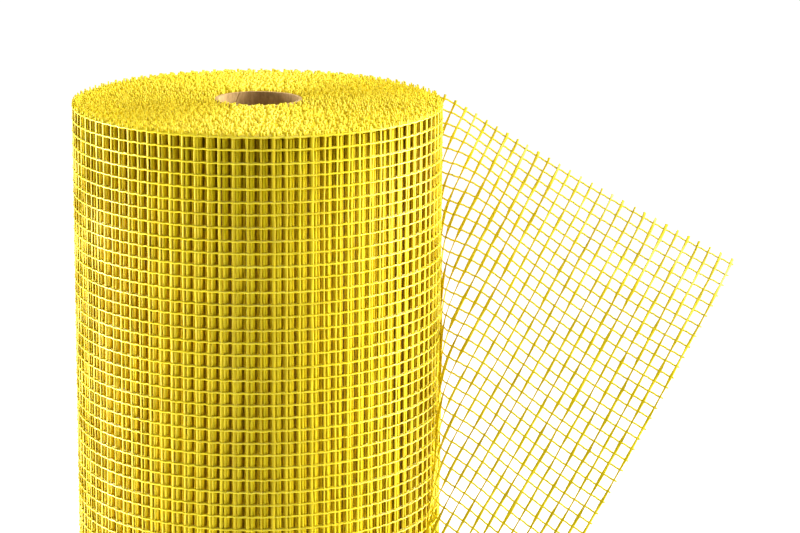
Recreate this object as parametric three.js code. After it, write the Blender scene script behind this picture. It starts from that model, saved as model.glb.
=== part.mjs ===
// Roll of open fibreglass mesh on a cardboard core, standing on its end, with the upper corner of
// its free end peeled outward. Millimetres, +Z up, the roll's axis parallel to Z.
import * as THREE from 'three';
import { mergeVertices } from 'three/addons/utils/BufferGeometryUtils.js';

// Web: a square open mesh, wound to a roll. Its cross strands end in short tips beyond both
// selvedges, and the tips make the two end faces.
const webWidth = 1000;
const webLength = 50000;
const webThickness = 1.31;
const tipLength = 4;

// Core tube: spiral-wound cardboard, as long as the web is wide. Pieces that touch are seatGap apart.
const coreBore = 65;
const coreWall = 2.5;
const seatGap = 0.3;

// End faces: one ring stands for a bundle of turns, with a groove between it and the next.
const turnsPerRing = 10;
const grooveWidth = 4;
const grooveDepth = 2.5;

// Peel: at the top selvedge the web leaves the roll peelLength before its end. Lower down it
// leaves ever later, and peelHeight below the selvedge its end lies on the roll.
const peelLength = 287;
const peelHeight = 1000;
const peelPower = 1.7;
const leastPeel = 15;

// Fold: from where it leaves the roll the web turns outward over foldLength and sinks over
// sinkLength, then levels out again, by so many degrees every levelOutRun. All of it changes from
// the top selvedge down to settleLevel, then stays. Within edgeDepth of the selvedge the web is
// slacker: the values at the selvedge itself are those named edge. Angles are in degrees.
const settleLevel = 300;
const edgeDepth = 123;
const endAngle = { top: -91.5, low: -75 };
const foldLength = { top: 20, low: 62 };
const heading = { edge: -16, top: -22.5, low: -29.5 };
const sink = { edge: 31, top: 41.5, low: 32 };
const sinkLength = { edge: 32, top: 82, low: 82 };
const levelOut = { edge: 2.5, top: 7.2, low: 7.2 };
const levelOutRun = 100;

// The root of the peeled web lies on the wound turns, as the last of them.
const rootLength = 10;

const roundSteps = 48;
const stepsPerSpan = 8;
const alongSpans = 20;
const downSpans = 60;

const coreOuter = coreBore / 2 + coreWall;
const rollBore = coreOuter + seatGap;
const rollOuter = Math.sqrt(rollBore ** 2 + webLength * webThickness / Math.PI);
const lastTurn = rollOuter + seatGap + webThickness / 2;
const turns = (rollOuter - rollBore) / webThickness;
const selvedgeHeight = webWidth - tipLength;

const { degToRad, smoothstep, lerp } = THREE.MathUtils;

// A turned body: the profile of radii and heights closes on itself.
function turned(profile) {
  const points = [...profile, profile[0]].map(([radius, height]) => new THREE.Vector2(radius, height));
  const geometry = new THREE.LatheGeometry(points, roundSteps).rotateX(Math.PI / 2);
  geometry.deleteAttribute('normal');
  geometry.deleteAttribute('uv');
  return mergeVertices(geometry);
}

// One end face from the bore out: radii, and depths below the tips.
function endFace() {
  const ringCount = Math.max(1, Math.round(turns / turnsPerRing));
  const ringWidth = (rollOuter - rollBore) / ringCount;
  const face = [[rollBore, 0]];
  for (let ring = 1; ring < ringCount; ring += 1) {
    const groove = rollBore + ring * ringWidth;
    face.push([groove - grooveWidth / 2, 0], [groove, grooveDepth], [groove + grooveWidth / 2, 0]);
  }
  return [...face, [rollOuter, 0]];
}

function woundTurns() {
  const bottom = endFace();
  const top = endFace().map(([radius, depth]) => [radius, webWidth - depth]).reverse();
  return turned([...bottom, ...top]);
}

function coreTube() {
  return turned([[coreBore / 2, 0], [coreOuter, 0], [coreOuter, webWidth], [coreBore / 2, webWidth]]);
}

const settling = (level) => Math.min(Math.max(level / settleLevel, 0), 1);
const settled = (range, level) => lerp(range.top, range.low, settling(level));
const edging = (level) => Math.max(1 - level / edgeDepth, 0) ** 2;
const eased = (range, level) => lerp(range.top, range.low, 1 - (1 - settling(level)) ** 2)
  + (range.edge - range.top) * edging(level);
const offRoll = (level) => peelLength * Math.max(1 - level / peelHeight, 0) ** peelPower;

function onRoll(angle, level) {
  return new THREE.Vector3(lastTurn * Math.cos(angle), lastTurn * Math.sin(angle), selvedgeHeight - level);
}

// The web's middle line at `level` below the top selvedge, from its root on the roll to its end.
function peeledLine(level) {
  const length = offRoll(level);
  const leaveAngle = degToRad(settled(endAngle, level)) + length / lastTurn;
  const startHeading = leaveAngle - Math.PI / 2;
  const turn = degToRad(eased(heading, level)) - startHeading;
  const fullSink = degToRad(eased(sink, level));
  const leveling = degToRad(eased(levelOut, level)) / levelOutRun;
  const fold = settled(foldLength, level);
  const step = length / (alongSpans * stepsPerSpan);
  const at = onRoll(leaveAngle, level);
  const line = [onRoll(leaveAngle + rootLength / lastTurn, level), at.clone()];
  for (let i = 1; i <= alongSpans * stepsPerSpan; i += 1) {
    const run = (i - 0.5) * step;
    const azimuth = startHeading + turn * smoothstep(run, 0, fold);
    const fall = fullSink * smoothstep(run, 0, eased(sinkLength, level)) - leveling * Math.max(run - fold, 0);
    at.x += step * Math.cos(fall) * Math.cos(azimuth);
    at.y += step * Math.cos(fall) * Math.sin(azimuth);
    at.z -= step * Math.sin(fall);
    if (i % stepsPerSpan === 0) line.push(at.clone());
  }
  return line;
}

// The peeled web is a closed sheet: the grid of its middle lines, thickened to both sides.
function peeledWeb() {
  const highest = webThickness - tipLength;
  const lowest = peelHeight * (1 - (leastPeel / peelLength) ** (1 / peelPower));
  const lines = [];
  for (let i = 0; i <= downSpans; i += 1) lines.push(peeledLine(lerp(highest, lowest, i / downSpans)));
  const rows = lines.length;
  const columns = lines[0].length;
  const middle = (row, column) => lines[Math.min(Math.max(row, 0), rows - 1)][
    Math.min(Math.max(column, 0), columns - 1)];

  const positions = [];
  const index = [];
  for (const side of [1, -1]) {
    for (let row = 0; row < rows; row += 1) {
      for (let column = 0; column < columns; column += 1) {
        const down = middle(row + 1, column).clone().sub(middle(row - 1, column));
        const along = middle(row, column + 1).clone().sub(middle(row, column - 1));
        const outward = along.cross(down).normalize();
        const point = middle(row, column).clone().addScaledVector(outward, side * webThickness / 2);
        positions.push(point.x, point.y, point.z);
      }
    }
  }
  const back = rows * columns;
  const quad = (a, b, c, d) => index.push(a, b, c, a, c, d);
  for (let row = 0; row < rows - 1; row += 1) {
    for (let column = 0; column < columns - 1; column += 1) {
      const a = row * columns + column;
      const b = a + columns;
      quad(a, a + 1, b + 1, b);
      quad(back + a, back + b, back + b + 1, back + a + 1);
    }
  }
  const rim = [];
  for (let column = 0; column < columns; column += 1) rim.push(column);
  for (let row = 1; row < rows; row += 1) rim.push(row * columns + columns - 1);
  for (let column = columns - 2; column >= 0; column -= 1) rim.push((rows - 1) * columns + column);
  for (let row = rows - 2; row > 0; row -= 1) rim.push(row * columns);
  rim.forEach((a, i) => {
    const b = rim[(i + 1) % rim.length];
    quad(b, a, back + a, back + b);
  });

  const geometry = new THREE.BufferGeometry();
  geometry.setAttribute('position', new THREE.BufferAttribute(new Float32Array(positions), 3));
  geometry.setIndex(index);
  return geometry;
}

function piece(name, geometry, material) {
  const mesh = new THREE.Mesh(geometry, material);
  mesh.name = name;
  return mesh;
}

const cardboard = new THREE.MeshStandardMaterial({ color: 0x8a6a4c, roughness: 0.9, metalness: 0 });
const coatedYarn = new THREE.MeshStandardMaterial({ color: 0xe8d21a, roughness: 0.5, metalness: 0 });

const roll = new THREE.Group();
roll.add(piece('core_tube', coreTube(), cardboard));
roll.add(piece('mesh_roll', woundTurns(), coatedYarn));
roll.add(piece('free_end', peeledWeb(), coatedYarn));

// The origin lies on the floor, at the middle of the space that the roll and its free end take up.
const middle = new THREE.Box3().setFromObject(roll).getCenter(new THREE.Vector3());
roll.position.set(-middle.x, -middle.y, 0);

export default roll;
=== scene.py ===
import math

import bmesh
import bpy
import numpy as np
from mathutils import Matrix, Vector


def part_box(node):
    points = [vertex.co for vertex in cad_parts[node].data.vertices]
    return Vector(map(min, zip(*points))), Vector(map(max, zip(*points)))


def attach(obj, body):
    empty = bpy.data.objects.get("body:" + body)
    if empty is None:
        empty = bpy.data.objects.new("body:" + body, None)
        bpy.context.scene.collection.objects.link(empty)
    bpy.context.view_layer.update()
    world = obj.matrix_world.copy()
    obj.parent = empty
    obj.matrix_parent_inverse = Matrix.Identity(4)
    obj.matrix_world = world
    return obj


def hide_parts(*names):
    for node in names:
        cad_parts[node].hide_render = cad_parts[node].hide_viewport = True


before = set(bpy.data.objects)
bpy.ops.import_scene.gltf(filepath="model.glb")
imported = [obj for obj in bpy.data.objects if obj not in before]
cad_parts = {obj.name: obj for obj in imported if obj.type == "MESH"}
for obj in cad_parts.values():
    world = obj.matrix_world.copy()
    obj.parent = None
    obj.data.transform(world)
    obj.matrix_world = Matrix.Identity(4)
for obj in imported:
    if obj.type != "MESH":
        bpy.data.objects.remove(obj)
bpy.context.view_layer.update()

# Camera
# The photograph was taken from two metres in front of the roll and a little above it, with a long
# lens, looking down past the top end. The roll's axis comes from the core, its height from the web.
core_low, core_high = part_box("core_tube")
web_low, web_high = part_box("mesh_roll")
axis_x = (core_low.x + core_high.x) / 2
axis_y = (core_low.y + core_high.y) / 2
tip_length = 0.004
selvedge_z = web_high.z - tip_length
lens_length = 122.6
lens_distance = 2.163
lens_rise = 0.381
view_aside = math.radians(-3.05)
view_down = math.radians(90 - 13.4)
view_tilt = math.radians(0.6)

camera_data = bpy.data.cameras.new("camera")
camera_data.sensor_width = 36
camera_data.lens = lens_length
camera = bpy.data.objects.new("camera", camera_data)
camera.matrix_world = (
    Matrix.Translation((axis_x, axis_y - lens_distance, selvedge_z + lens_rise))
    @ Matrix.Rotation(view_aside, 4, "Z")
    @ Matrix.Rotation(view_down, 4, "X")
    @ Matrix.Rotation(view_tilt, 4, "Z")
)
bpy.context.scene.collection.objects.link(camera)
bpy.context.scene.camera = camera

# Core tube
# Brown paper wound in a spiral and glued to a hard tube, which the web is wound on. The plies butt
# along a spiral seam that shows as a fine groove, and both ends are sawn square.
core_bore = 0.0325
core_outside = (core_high.x - core_low.x) / 2
core_steps = 96
core_edge = math.radians(50)
seam_rise = 0.437
seam_start = math.radians(118)
seam_groove = 0.0005
seam_width = 0.0016
band_steps = 4
weld_gap = 1e-6
cut_gap = 1e-7


def shade(name, **sockets):
    material = bpy.data.materials.new(name)
    material.use_nodes = True
    shader = material.node_tree.nodes["Principled BSDF"]
    for socket, value in sockets.items():
        shader.inputs[socket.replace("_", " ")].default_value = value
    return material, material.node_tree, shader


def node(tree, kind, links=(), **settings):
    made = tree.nodes.new(kind)
    for setting, value in settings.items():
        if setting in made.bl_rna.properties:
            setattr(made, setting, value)
        else:
            made.inputs[setting.replace("_", " ")].default_value = value
    for socket, source in dict(links).items():
        tree.links.new(source, made.inputs[socket])
    return made


def ramp(tree, source, *stops):
    made = node(tree, "ShaderNodeValToRGB", {"Fac": source})
    while len(made.color_ramp.elements) < len(stops):
        made.color_ramp.elements.new(0.5)
    for element, (place, colour) in zip(made.color_ramp.elements, stops):
        element.position = place
        element.color = (*colour, 1)
    return made.outputs["Color"]


def add_piece(name, mesh, material):
    piece = bpy.data.objects.new(name, mesh)
    bpy.context.scene.collection.objects.link(piece)
    mesh.materials.append(material)
    mesh.polygons.foreach_set("use_smooth", [True] * len(mesh.polygons))
    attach(piece, "root")
    return piece


def seam_profile():
    # Rise and depth over one turn of the spiral: the groove, then the plain band above it.
    half = seam_width / 2
    band = seam_rise - seam_width
    groove = [(-half, 0), (0, seam_groove), (half, 0)]
    return groove + [(half + band * step / band_steps, 0) for step in range(1, band_steps)]


def core_mesh():
    made = bmesh.new()
    turns = math.ceil((core_high.z - core_low.z) / seam_rise) + 1
    for radius, groove_way, flip in ((core_bore, 1, True), (core_outside, -1, False)):
        lines = []
        for turn_start in np.arange(-1, turns + 1) * seam_rise:
            for rise, groove in seam_profile():
                lines.append((turn_start + rise, radius + groove_way * groove))
        grid = []
        for rise, line_radius in lines:
            row = []
            for step in range(core_steps + 1):
                angle = seam_start - 2 * math.pi * step / core_steps
                x = axis_x + line_radius * math.cos(angle)
                y = axis_y + line_radius * math.sin(angle)
                z = core_high.z - turns * seam_rise + rise + seam_rise * step / core_steps
                row.append(made.verts.new((x, y, z)))
            grid.append(row)
        for low_row, high_row in zip(grid, grid[1:]):
            for step in range(core_steps):
                corners = [low_row[step], low_row[step + 1], high_row[step + 1], high_row[step]]
                made.faces.new(corners[::-1] if flip else corners)
    bmesh.ops.remove_doubles(made, verts=made.verts, dist=weld_gap)
    for height, way in ((core_low.z, -1), (core_high.z, 1)):
        cut = bmesh.ops.bisect_plane(
            made, geom=made.verts[:] + made.edges[:] + made.faces[:], dist=cut_gap,
            plane_co=(0, 0, height), plane_no=(0, 0, way), clear_outer=True)
        rims = [part for part in cut["geom_cut"] if isinstance(part, bmesh.types.BMEdge)]
        bmesh.ops.bridge_loops(made, edges=rims)
    bmesh.ops.recalc_face_normals(made, faces=made.faces)
    mesh = bpy.data.meshes.new("core_tube_paper")
    made.to_mesh(mesh)
    made.free()
    mesh.set_sharp_from_angle(angle=core_edge)
    return mesh


def cardboard():
    material, tree, shader = shade("cardboard", Roughness=0.88, Specular_IOR_Level=0.25)
    place = node(tree, "ShaderNodeTexCoord").outputs["Object"]
    upright = node(tree, "ShaderNodeMapping", {"Vector": place}, Scale=(1, 1, 0.35))
    fibres = node(
        tree, "ShaderNodeTexNoise", {"Vector": upright.outputs["Vector"]},
        Scale=420, Detail=6, Roughness=0.65).outputs["Fac"]
    clouds = node(
        tree, "ShaderNodeTexNoise", {"Vector": place}, Scale=38, Detail=3).outputs["Fac"]
    paper = ramp(
        tree, clouds,
        (0.3, (0.44, 0.27, 0.1)), (0.52, (0.58, 0.38, 0.16)), (0.75, (0.7, 0.48, 0.23)))
    flecks = ramp(tree, fibres, (0.33, (0.62, 0.58, 0.54)), (0.6, (1, 1, 1)))
    mixed = node(tree, "ShaderNodeMix", data_type="RGBA", blend_type="MULTIPLY")
    mixed.inputs["Factor"].default_value = 0.8
    tree.links.new(paper, mixed.inputs[6])
    tree.links.new(flecks, mixed.inputs[7])
    tree.links.new(mixed.outputs[2], shader.inputs["Base Color"])
    bump = node(tree, "ShaderNodeBump", {"Height": fibres}, Strength=0.35, Distance=0.0006)
    tree.links.new(bump.outputs["Normal"], shader.inputs["Normal"])
    return material


core = add_piece("core_tube_paper", core_mesh(), cardboard())
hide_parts("core_tube")

# Web on the roll
# One web of open mesh, 50 m long, wound from its inner end outward. A place on it is given by run,
# how far it lies from the free end, and level, how far below the top selvedge. The end lies at
# end_angle degrees, at the top and from settle_level down, which skews the outermost turn's wefts.
strand_pitch = 0.010
seat_gap = 0.0003
outer_lift = 0.00083
web_thickness = 0.00131
web_width = web_high.z - web_low.z
outer_turn = axis_x - web_low.x + outer_lift
roll_bore = core_outside + seat_gap
web_length = (outer_turn ** 2 - roll_bore ** 2) * math.pi / web_thickness
warp_count = round((web_width - 2 * tip_length) / strand_pitch) + 1
end_angle = (-91.5, -75)
settle_level = 0.3
skew_kept = 1.9
skew_fade = 2.4


def smooth(value):
    value = np.clip(value, 0, 1)
    return value * value * (3 - 2 * value)


def wound_angle(run):
    radius = np.sqrt(outer_turn ** 2 - web_thickness * run / math.pi)
    return (outer_turn - radius) * 2 * math.pi / web_thickness


def on_roll(run, level):
    # The skew is whole for skew_kept radians from the end, then fades out over skew_fade.
    wound = wound_angle(run)
    settled = np.clip(level / settle_level, 0, 1)
    kept = 1 - smooth((wound - skew_kept) / skew_fade)
    skew = math.radians(end_angle[1] - end_angle[0]) * settled * kept
    angle = math.radians(end_angle[0]) + skew + wound
    radius = outer_turn - web_thickness * wound / (2 * math.pi)
    outward = np.stack([np.cos(angle), np.sin(angle), 0 * angle], -1)
    points = outward * radius[..., None]
    points[..., 0] += axis_x
    points[..., 1] += axis_y
    points[..., 2] = selvedge_z - level
    return points, outward


# Peeled corner
# The free end of the same web. It leaves the roll ever later from the top selvedge down, turns
# outward and sinks. A pair holds the value at the top and the one from settle_level down. A value
# named edge is what the slack selvedge adds to the one at the top, and it fades out at edge_depth.
peel_length = 0.287
peel_height = 1.0
peel_power = 1.7
edge_depth = 0.123
fold_length = (0.020, 0.062)
heading = (-22.5, -29.5)
heading_edge = 6.5
sink = (41.5, 32)
sink_edge = -10.5
sink_length = 0.082
sink_length_edge = -0.05
level_out = 72
level_out_edge = -47
path_rows = 201
path_steps = 320
path_step = (peel_length + 2 * tip_length) / path_steps
path_levels = np.linspace(-tip_length, web_width - tip_length, path_rows)


def between(ends, share):
    return ends[0] + (ends[1] - ends[0]) * share


def peeled_length(level):
    return peel_length * np.clip(1 - level / peel_height, 0, None) ** peel_power


def peeled_paths():
    # One path for each level, from where the web leaves the roll out to beyond its end.
    level = path_levels[:, None]
    settled = np.clip(level / settle_level, 0, 1)
    early = 1 - (1 - settled) ** 2
    slack = np.clip(1 - level / edge_depth, 0, None) ** 2
    start, _ = on_roll(peeled_length(level), level)
    angle = np.arctan2(start[..., 1] - axis_y, start[..., 0] - axis_x)
    start_heading = angle - math.pi / 2
    turn = np.radians(between(heading, early) + heading_edge * slack) - start_heading
    run = (np.arange(path_steps) + 0.5)[None] * path_step
    fold = between(fold_length, settled)
    azimuth = start_heading + turn * smooth(run / fold)
    sinking = smooth(run / (sink_length + sink_length_edge * slack))
    fall = np.radians(between(sink, early) + sink_edge * slack) * sinking
    fall = fall - np.radians(level_out + level_out_edge * slack) * np.clip(run - fold, 0, None)
    steps = np.stack(
        [np.cos(fall) * np.cos(azimuth), np.cos(fall) * np.sin(azimuth), -np.sin(fall)], -1)
    return np.concatenate([start, start + np.cumsum(steps, 1) * path_step], 1)


paths = peeled_paths()
path_normals = np.cross(np.gradient(paths, axis=1), np.gradient(paths, axis=0))
path_normals /= np.linalg.norm(path_normals, axis=-1, keepdims=True)


def from_grid(grid, level, run):
    row = np.interp(level, path_levels, np.arange(path_rows))
    column = np.clip(run / path_step, 0, path_steps - 1e-6)
    row0 = np.minimum(row.astype(int), path_rows - 2)
    column0 = column.astype(int)
    a, b = (row - row0)[..., None], (column - column0)[..., None]
    return ((1 - a) * (1 - b) * grid[row0, column0] + a * (1 - b) * grid[row0 + 1, column0]
            + (1 - a) * b * grid[row0, column0 + 1] + a * b * grid[row0 + 1, column0 + 1])


def web_at(run, level):
    run, level = np.broadcast_arrays(np.asarray(run, float), np.asarray(level, float))
    points, outward = on_roll(np.maximum(run, 0), level)
    off = peeled_length(level) - run
    free = off > 0
    points[free] = from_grid(paths, level[free], off[free])
    normals = from_grid(path_normals, level[free], off[free])
    outward[free] = normals / np.linalg.norm(normals, axis=-1, keepdims=True)
    return points, outward


# Wefts of the outer turns
# Thick flat yarns of coated glass that run the whole width of the web, upright on the roll. Their
# cut ends stand out as tips beyond both selvedges. They lean, wander and twist a little, as the
# loom left them, and twist more where the web is free.
outer_wefts = 128
wefts_a_turn = 93
under_turns = 10
weft_half_width = 0.00118
weft_half_thickness = 0.00045
weft_jitter = 0.00009
width_jitter = 0.06
laid_twist = 0.3
free_twist = 0.95
strand_offset = 7
streak_rate = 30
chance = np.random.default_rng(11)
weft_number = np.arange(outer_wefts + wefts_a_turn * under_turns)
weft_shift = chance.normal(0, 0.00022, len(weft_number))
weft_sway = chance.normal(0, 0.0003, len(weft_number))
weft_wave = chance.uniform(8, 20, len(weft_number))
weft_phase = chance.uniform(0, 2 * math.pi, len(weft_number))
weft_tone = np.clip(chance.normal(0.5, 0.16, len(weft_number)), 0, 1)
weft_fullness = np.clip(chance.normal(1, 0.12, len(weft_number)), 0.75, 1.25)


def sweep(name, lines, half_width, half_thickness, sides, strand_tone, twist=0.0):
    # Every strand is a flattened round section carried along its own line, closed at both ends.
    points, outward = lines
    strands, rings = points.shape[:2]
    along = np.gradient(points, axis=1)
    along /= np.linalg.norm(along, axis=-1, keepdims=True)
    flat = np.cross(along, outward)
    flat /= np.linalg.norm(flat, axis=-1, keepdims=True)
    upright = np.cross(flat, along)
    twist = np.broadcast_to(np.asarray(twist, float), (strands, rings))[..., None]
    across = flat * np.cos(twist) + upright * np.sin(twist)
    lift = upright * np.cos(twist) - flat * np.sin(twist)
    turn = 2 * math.pi * np.arange(sides) / sides
    wide = np.broadcast_to(np.asarray(half_width, float), (strands, rings))[..., None, None]
    thick = np.broadcast_to(np.asarray(half_thickness, float), (strands, rings))[..., None, None]
    corners = (points[:, :, None] + wide * np.cos(turn)[:, None] * across[:, :, None]
               + thick * np.sin(turn)[:, None] * lift[:, :, None])

    first = (np.arange(strands)[:, None] * rings + np.arange(rings - 1)[None])[..., None] * sides
    here = np.arange(sides)[None, None]
    after = (here + 1) % sides
    walls = np.stack(
        [first + here, first + after, first + sides + after, first + sides + here], -1)
    starts = np.arange(strands)[:, None] * rings * sides
    caps = np.concatenate([
        starts + np.arange(sides)[::-1], starts + (rings - 1) * sides + np.arange(sides)])
    loops = np.concatenate([walls.ravel(), caps.ravel()])
    sizes = np.concatenate([np.full(walls.size // 4, 4), np.full(len(caps), sides)])
    loop_starts = np.concatenate([[0], np.cumsum(sizes)[:-1]])

    mesh = bpy.data.meshes.new(name)
    mesh.vertices.add(corners.size // 3)
    mesh.vertices.foreach_set("co", corners.astype(np.float32).ravel())
    mesh.loops.add(len(loops))
    mesh.loops.foreach_set("vertex_index", loops.astype(np.int32))
    mesh.polygons.add(len(sizes))
    mesh.polygons.foreach_set("loop_start", loop_starts.astype(np.int32))
    mesh.update(calc_edges=True)

    # The yarn attribute lets streaks run along each strand, and differ from one to the next.
    stretches = np.linalg.norm(np.diff(points, axis=1), axis=-1)
    length = np.concatenate([np.zeros((strands, 1)), np.cumsum(stretches, 1)], 1)
    yarn = np.zeros((strands, rings, sides, 3), np.float32)
    yarn[..., 0] = np.cos(turn) + strand_offset * np.arange(strands)[:, None, None]
    yarn[..., 1] = np.sin(turn)
    yarn[..., 2] = length[..., None] * streak_rate
    tone = np.broadcast_to(np.asarray(strand_tone, np.float32).reshape(-1, 1, 1), yarn.shape[:3])
    mesh.attributes.new("yarn", "FLOAT_VECTOR", "POINT").data.foreach_set("vector", yarn.ravel())
    mesh.attributes.new("tone", "FLOAT", "POINT").data.foreach_set("value", tone.ravel())
    return mesh


def coated_yarn(name, deep, plain, light, roughness, gloss):
    # Glass filaments under a dyed resin: streaks run along the yarn, and the resin pools unevenly.
    material, tree, shader = shade(name, Roughness=roughness, Specular_IOR_Level=gloss)
    yarn = node(tree, "ShaderNodeAttribute", attribute_name="yarn").outputs["Vector"]
    tone = node(tree, "ShaderNodeAttribute", attribute_name="tone").outputs["Fac"]
    filaments = node(
        tree, "ShaderNodeTexNoise", {"Vector": yarn}, Scale=2.6, Detail=3).outputs["Fac"]
    place = node(tree, "ShaderNodeTexCoord").outputs["Object"]
    pooled = node(
        tree, "ShaderNodeTexNoise", {"Vector": place}, Scale=55, Detail=2).outputs["Fac"]
    streaked = node(tree, "ShaderNodeMath", {0: filaments, 1: tone}, operation="ADD").outputs[0]
    spread = node(tree, "ShaderNodeMath", {0: streaked, 1: pooled}, operation="ADD").outputs[0]
    share = node(tree, "ShaderNodeMath", {0: spread}, operation="DIVIDE")
    share.inputs[1].default_value = 3
    colour = ramp(tree, share.outputs[0], (0.32, deep), (0.5, plain), (0.68, light))
    tree.links.new(colour, shader.inputs["Base Color"])
    bump = node(tree, "ShaderNodeBump", {"Height": filaments}, Strength=0.3, Distance=0.0003)
    tree.links.new(bump.outputs["Normal"], shader.inputs["Normal"])
    return material


def weft_lines(numbers, levels):
    number = numbers[:, None]
    sway = weft_sway[number] * np.sin(weft_wave[number] * levels[None] + weft_phase[number])
    run = number * strand_pitch + weft_shift[number] * (number > 0) + sway
    run = run + chance.normal(0, weft_jitter, run.shape)
    return web_at(np.maximum(run, 0), np.broadcast_to(levels[None], run.shape))


weft_yarn = coated_yarn(
    "coated_weft", (0.52, 0.38, 0.0), (0.62, 0.47, 0.001), (0.7, 0.56, 0.004), 0.45, 0.22)
numbers = weft_number[:outer_wefts]
levels = np.concatenate(
    [[-tip_length], strand_pitch * np.arange(warp_count), [web_width - tip_length]])
lines = weft_lines(numbers, levels)
unevenness = 1 + chance.normal(0, width_jitter, (outer_wefts, len(levels)))
widths = weft_half_width * weft_fullness[numbers, None] * unevenness
twist_size = np.where(numbers < peel_length / strand_pitch, free_twist, laid_twist)[:, None]
twist_rate = chance.uniform(55, 110, outer_wefts)[:, None]
twist = twist_size * np.sin(levels[None] * twist_rate + weft_phase[numbers, None])
mesh = sweep("outer_wefts", lines, widths, weft_half_thickness, 6, weft_tone[numbers], twist)
wefts = add_piece("outer_wefts", mesh, weft_yarn)
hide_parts("mesh_roll", "free_end")

# Wefts of the turns below
# The same yarns in the next ten turns. Each turn is shorter than the one around it, so its wefts
# fall a little further on and fill the gaps unevenly. The yarn is the same yellow throughout, but
# painted light and shade are put in its colour: the next turn is painted lighter against the shade
# of the turn above, and the deeper turns are painted amber and then brown, as painted shade for the
# light that reaches them through yellow yarn.
under_margin = 0.002
near_wefts = outer_wefts + wefts_a_turn
lower_wefts = near_wefts + wefts_a_turn * 4
# Painted light and shade: the next turn's yarn is painted lighter than the outer wefts', the next
# four turns' amber and the deepest five turns' brown.
near_yarn_painted_light = coated_yarn(
    "coated_weft_near_painted_light", (0.7, 0.55, 0.0), (0.8, 0.64, 0.002), (0.88, 0.73, 0.006), 0.45, 0.22)
painted_shade_amber_yarn = coated_yarn(
    "coated_weft_painted_shade_amber", (0.78, 0.54, 0.0), (0.86, 0.63, 0.0), (0.92, 0.7, 0.002), 0.5, 0.15)
painted_shade_brown_yarn = coated_yarn(
    "coated_weft_painted_shade_brown", (0.46, 0.27, 0.0), (0.58, 0.37, 0.0), (0.68, 0.47, 0.0), 0.6, 0.1)
levels = np.linspace(under_margin, web_width - 2 * tip_length - under_margin, 10)
for name, numbers, yarn in (
        ("near_wefts", weft_number[outer_wefts:near_wefts], near_yarn_painted_light),
        ("lower_wefts", weft_number[near_wefts:lower_wefts], painted_shade_amber_yarn),
        ("deep_wefts", weft_number[lower_wefts:], painted_shade_brown_yarn)):
    lines = weft_lines(numbers, levels)
    mesh = sweep(name, lines, weft_half_width, weft_half_thickness, 4, weft_tone[numbers])
    add_piece(name, mesh, yarn)

# Warps of the outer turns
# Thinner yarns along the web, which ride up over each weft and drop between them. They end in
# short stubs at the free end. The lower half is a piece of its own, to keep the pieces small.
stub_length = 0.0025
warp_half_width = 0.00078
warp_half_thickness = 0.0004
warp_height = weft_half_thickness + warp_half_thickness * 0.6
warp_weave = 0.00026
warp_wander = 0.0003
wander_rate = 9
wander_shift = 2.4
steps_a_pitch = 3
warp_tone = np.clip(chance.normal(0.5, 0.12, warp_count), 0, 1)
warp_shift = chance.normal(0, 0.00012, warp_count)


def warp_lines(rows, run):
    row = rows[:, None]
    weave = 2 * math.pi * run / strand_pitch
    wander = warp_wander * np.sin(run[None] * wander_rate + wander_shift * row)
    level = row * strand_pitch + warp_shift[row] + (wander + warp_weave * np.sin(weave)[None])
    points, outward = web_at(np.broadcast_to(run[None], level.shape), level)
    rise = warp_height * (0.5 + 0.5 * np.cos(weave))
    return points + outward * rise[None, :, None], outward


warp_yarn = coated_yarn(
    "coated_warp", (0.62, 0.48, 0.001), (0.72, 0.58, 0.004), (0.8, 0.68, 0.02), 0.3, 0.5)
warp_rows = np.arange(warp_count)
upper_rows = warp_rows[:warp_count // 2]
lower_rows = warp_rows[warp_count // 2:]
outer_run = np.arange(-1, outer_wefts * steps_a_pitch) * strand_pitch / steps_a_pitch
outer_run[0] = -stub_length
for name, rows in (("outer_warps_upper", upper_rows), ("outer_warps_lower", lower_rows)):
    lines = warp_lines(rows, outer_run)
    mesh = sweep(name, lines, warp_half_width, warp_half_thickness, 4, warp_tone[rows])
    add_piece(name, mesh, warp_yarn)

# Warps of the turns below
# The same yarns in the next two turns. They show only between the wefts, so they are made plainer,
# with three sides and one step from weft to weft.
under_run = (outer_wefts + np.arange(wefts_a_turn * 2)) * strand_pitch
lines = warp_lines(warp_rows, under_run)
mesh = sweep("under_warps", lines, warp_half_width, warp_half_thickness, 3, warp_tone)
add_piece("under_warps", mesh, warp_yarn)

# Inner turns
# The other turns, about seventy-five, lie so close that only their outermost surface shows in the
# gaps, in the shade of the turns above it. A plain ring stands for them, with that shade painted
# into its colour: dark brown upright streaks with darker painted shade between them.
inner_turns = 11.5
inner_radius = outer_turn - inner_turns * web_thickness
selvedge_depth = 0.0015
ring_steps = 180


def ring_mesh(name, inside, outside, low, high):
    # A plain ring round the roll's axis. Its yarn attribute holds each place as seen from there.
    made = bmesh.new()
    rings = []
    for radius, z in ((inside, low), (outside, low), (outside, high), (inside, high)):
        ring = []
        for step in range(ring_steps):
            angle = 2 * math.pi * step / ring_steps
            x = axis_x + radius * math.cos(angle)
            y = axis_y + radius * math.sin(angle)
            ring.append(made.verts.new((x, y, z)))
        rings.append(ring)
    for ring, following in zip(rings, rings[1:] + rings[:1]):
        for step in range(ring_steps):
            after = (step + 1) % ring_steps
            made.faces.new((ring[step], ring[after], following[after], following[step]))
    bmesh.ops.recalc_face_normals(made, faces=made.faces)
    mesh = bpy.data.meshes.new(name)
    made.to_mesh(mesh)
    made.free()
    yarn = mesh.attributes.new("yarn", "FLOAT_VECTOR", "POINT")
    for vertex, stored in zip(mesh.vertices, yarn.data):
        stored.vector = (vertex.co.x - axis_x, vertex.co.y - axis_y, vertex.co.z)
    tone = mesh.attributes.new("tone", "FLOAT", "POINT")
    tone.data.foreach_set("value", [0.5] * len(mesh.vertices))
    return mesh


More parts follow.
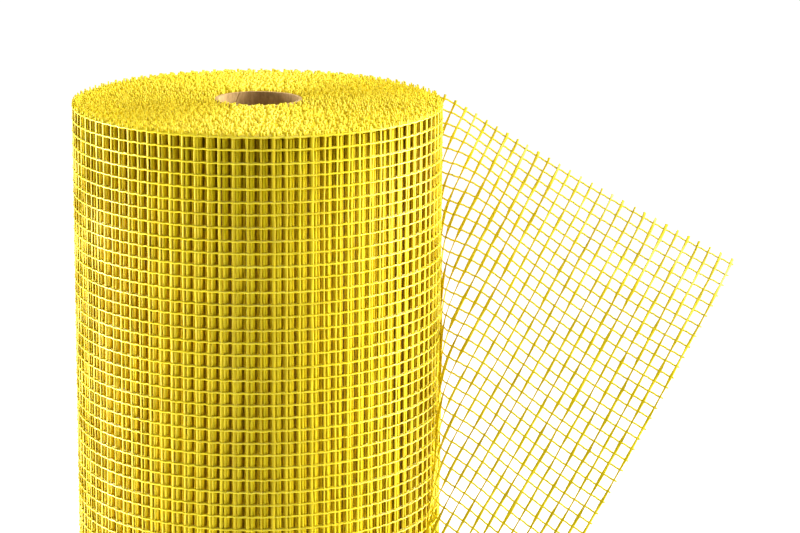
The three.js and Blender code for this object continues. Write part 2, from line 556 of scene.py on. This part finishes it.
def shaded_turns():
    material, tree, shader = shade("shaded_turns", Roughness=0.6, Specular_IOR_Level=0.3)
    around = node(tree, "ShaderNodeAttribute", attribute_name="yarn").outputs["Vector"]
    upright = node(tree, "ShaderNodeMapping", {"Vector": around}, Scale=(1, 1, 0.012))
    streaks = node(
        tree, "ShaderNodeTexNoise", {"Vector": upright.outputs["Vector"]},
        Scale=330, Detail=2).outputs["Fac"]
    # Painted shade: the dark brown streaks stand for shaded yellow yarn.
    colour = ramp(
        tree, streaks,
        (0.36, (0.14, 0.07, 0.0)), (0.5, (0.26, 0.14, 0.0)), (0.66, (0.42, 0.26, 0.0)))
    tree.links.new(colour, shader.inputs["Base Color"])
    return material


inner_low = web_low.z + tip_length + selvedge_depth
inner_high = selvedge_z - selvedge_depth
mesh = ring_mesh("inner_turns", roll_bore, inner_radius, inner_low, inner_high)
add_piece("inner_turns", mesh, shaded_turns())

# Ends of the roll
# The cut tips of all five thousand wefts stand up as a dense bed of bristles at both ends, round
# the spiral of the selvedge warps. They lean at random, are cut a little long or short, and rise
# towards the core at the top. A thin flat ring between them closes the view down into the roll.
bed_rise = 0.0007
bed_half_thickness = 0.0005
bed_inset = 2 * web_thickness
tip_half_thickness = 0.0006
tip_wander = 0.0009
tip_lean_along = 0.08
tip_lean_out = 0.06
inner_rise = 0.002
# Painted light: the tips and the bed between them are painted a lighter yellow than the outer
# wefts' same yarn, which lifts the shade among the tips.
tip_yarn_painted_light = coated_yarn(
    "coated_tips_painted_light", (0.7, 0.54, 0.01), (0.76, 0.6, 0.02), (0.81, 0.66, 0.03), 0.45, 0.2)
end_numbers = np.arange(outer_wefts, int(web_length / strand_pitch))
end_run = end_numbers * strand_pitch
towards_core = end_numbers / end_numbers[-1]
count = len(end_numbers)
for name, selvedge, way, core_rise in (
        ("top", 0.0, 1, inner_rise), ("bottom", web_width - 2 * tip_length, -1, 0)):
    bed_z = (selvedge_z if way > 0 else web_low.z + tip_length) + way * bed_rise
    mesh = ring_mesh(
        name + "_bed", roll_bore, outer_turn - bed_inset,
        bed_z - bed_half_thickness, bed_z + bed_half_thickness)
    add_piece(name + "_bed", mesh, tip_yarn_painted_light)

    run = end_run + chance.normal(0, tip_wander, count)
    foot, out = web_at(run, selvedge + way * selvedge_depth)
    along = np.stack([-out[:, 1], out[:, 0], 0 * out[:, 0]], -1)
    reach = tip_length * np.clip(chance.normal(0.88, 0.1, count), 0.5, 1)
    lean = (along * chance.normal(0, tip_lean_along, count)[:, None]
            + out * chance.normal(0, tip_lean_out, count)[:, None])
    reach = (reach + core_rise * towards_core)[:, None]
    up = np.array([0, 0, way])
    middle = foot + up * (selvedge_depth + reach * 0.5) + lean * reach * 0.3
    head = foot + up * (selvedge_depth + reach) + lean * reach
    head[:, 2] = np.clip(head[:, 2], web_low.z, web_high.z + inner_rise)
    lines = (np.stack([foot, middle, head], 1), np.repeat(out[:, None], 3, 1))
    spread = weft_half_width * np.stack([
        np.full(count, 0.9), np.full(count, 0.95), chance.uniform(0.9, 1.3, count)], 1)
    tones = np.clip(chance.normal(0.5, 0.12, count), 0, 1)
    mesh = sweep(name + "_tips", lines, spread, tip_half_thickness, 4, tones)
    add_piece(name + "_tips", mesh, tip_yarn_painted_light)

    points, outward = web_at(end_run, selvedge)
    lines = (points[None], outward[None])
    mesh = sweep(name + "_selvedge", lines, warp_half_width, warp_half_thickness, 4, [0.5])
    add_piece(name + "_selvedge", mesh, warp_yarn)

# Floor and light
# A plain pale floor that glows a little, so that it shows as white as in the photograph. Large soft
# lamps stand to the right, to the left and low, and overhead, under a faint even sky.
floor_size = 40
floor_glow = 0.97
sky_strength = 0.1
lamp_aim = 0.8
bpy.ops.mesh.primitive_plane_add(size=floor_size, location=(0, floor_size / 4, 0))
floor = bpy.context.object
floor.name = "floor"
paint, _, _ = shade(
    "floor_paint", Roughness=0.9, Base_Color=(0.5, 0.5, 0.5, 1),
    Emission_Color=(1, 1, 1, 1), Emission_Strength=floor_glow)
floor.data.materials.append(paint)


def lamp(name, place, power, size):
    data = bpy.data.lights.new(name, "AREA")
    data.energy = power
    data.size = size
    lamp_object = bpy.data.objects.new(name, data)
    lamp_object.location = Vector((axis_x, axis_y, 0)) + Vector(place)
    aim = Vector((axis_x, axis_y, lamp_aim)) - lamp_object.location
    lamp_object.rotation_mode = "QUATERNION"
    lamp_object.rotation_quaternion = aim.to_track_quat("-Z", "Y")
    bpy.context.scene.collection.objects.link(lamp_object)


lamp("key", (2.3, 0.3, 1.4), 235, 2.0)
lamp("fill", (-2.4, 0.35, 0.75), 180, 1.5)
lamp("overhead", (0.1, -0.2, 3.0), 36, 1.2)
world = bpy.data.worlds.new("sky")
world.use_nodes = True
world.node_tree.nodes["Background"].inputs["Color"].default_value = (1, 1, 1, 1)
world.node_tree.nodes["Background"].inputs["Strength"].default_value = sky_strength
bpy.context.scene.world = world
bpy.context.scene.view_settings.view_transform = "Standard"
